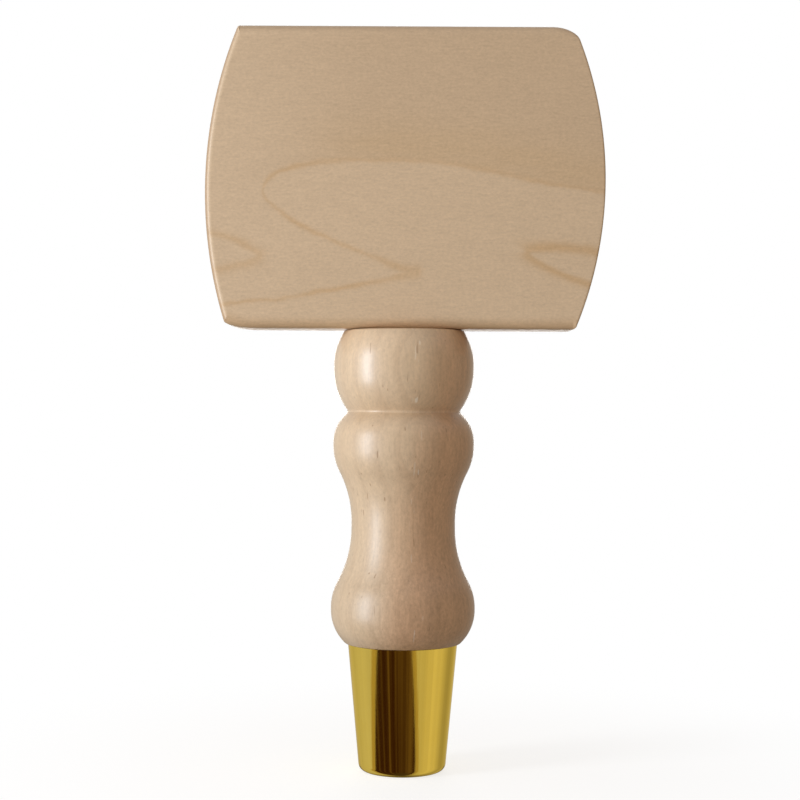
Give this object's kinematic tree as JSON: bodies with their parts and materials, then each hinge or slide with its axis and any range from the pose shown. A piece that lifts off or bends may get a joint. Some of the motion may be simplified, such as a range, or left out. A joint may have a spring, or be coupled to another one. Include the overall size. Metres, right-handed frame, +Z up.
{
  "type": "beer tap handle",
  "caption": "Blank draft beer tap handle: flat maple label panel on a turned maple handle, screwed into a gold-plated tapered ferrule with a threaded socket.",
  "frame": {"origin": "centre of the ferrule's bottom rim", "axes": "+Z up the handle, +Y out of the panel's back (its front faces -Y), +X to the right seen from the front"},
  "size_m": [0.1016, 0.0372, 0.1905],
  "materials": {
    "maple_panel": "satin lacquer",
    "maple_handle": "gloss lacquer",
    "beech_dowel": "raw",
    "zinc_steel": "zinc plated",
    "fibre": "matt",
    "gold_plate": "polished",
    "brass": "machined"
  },
  "bodies": {
    "ferrule": {"ferrule_shell": "gold_plate", "threaded_insert": "brass"},
    "washer": {"seat_washer": "fibre"},
    "handle": {"turned_handle": "maple_handle", "hanger_bolt": "zinc_steel", "panel_dowel": "beech_dowel", "face_panel": "maple_panel"}
  },
  "joints": [
    {"name": "unscrew_turn", "type": "hinge", "parent": "ferrule", "child": "washer", "pos_m": [0, 0, 0.0318], "axis": [0, 0, 1], "range_deg": [0, 2520]},
    {"name": "unscrew_rise", "type": "slide", "parent": "washer", "child": "handle", "axis": [0, 0, 1], "range_m": [0, 0.01112]}
  ],
  "couplings": [
    {"joint": "unscrew_rise", "follows": "unscrew_turn", "m_per_rad": 0.00025266}
  ]
}
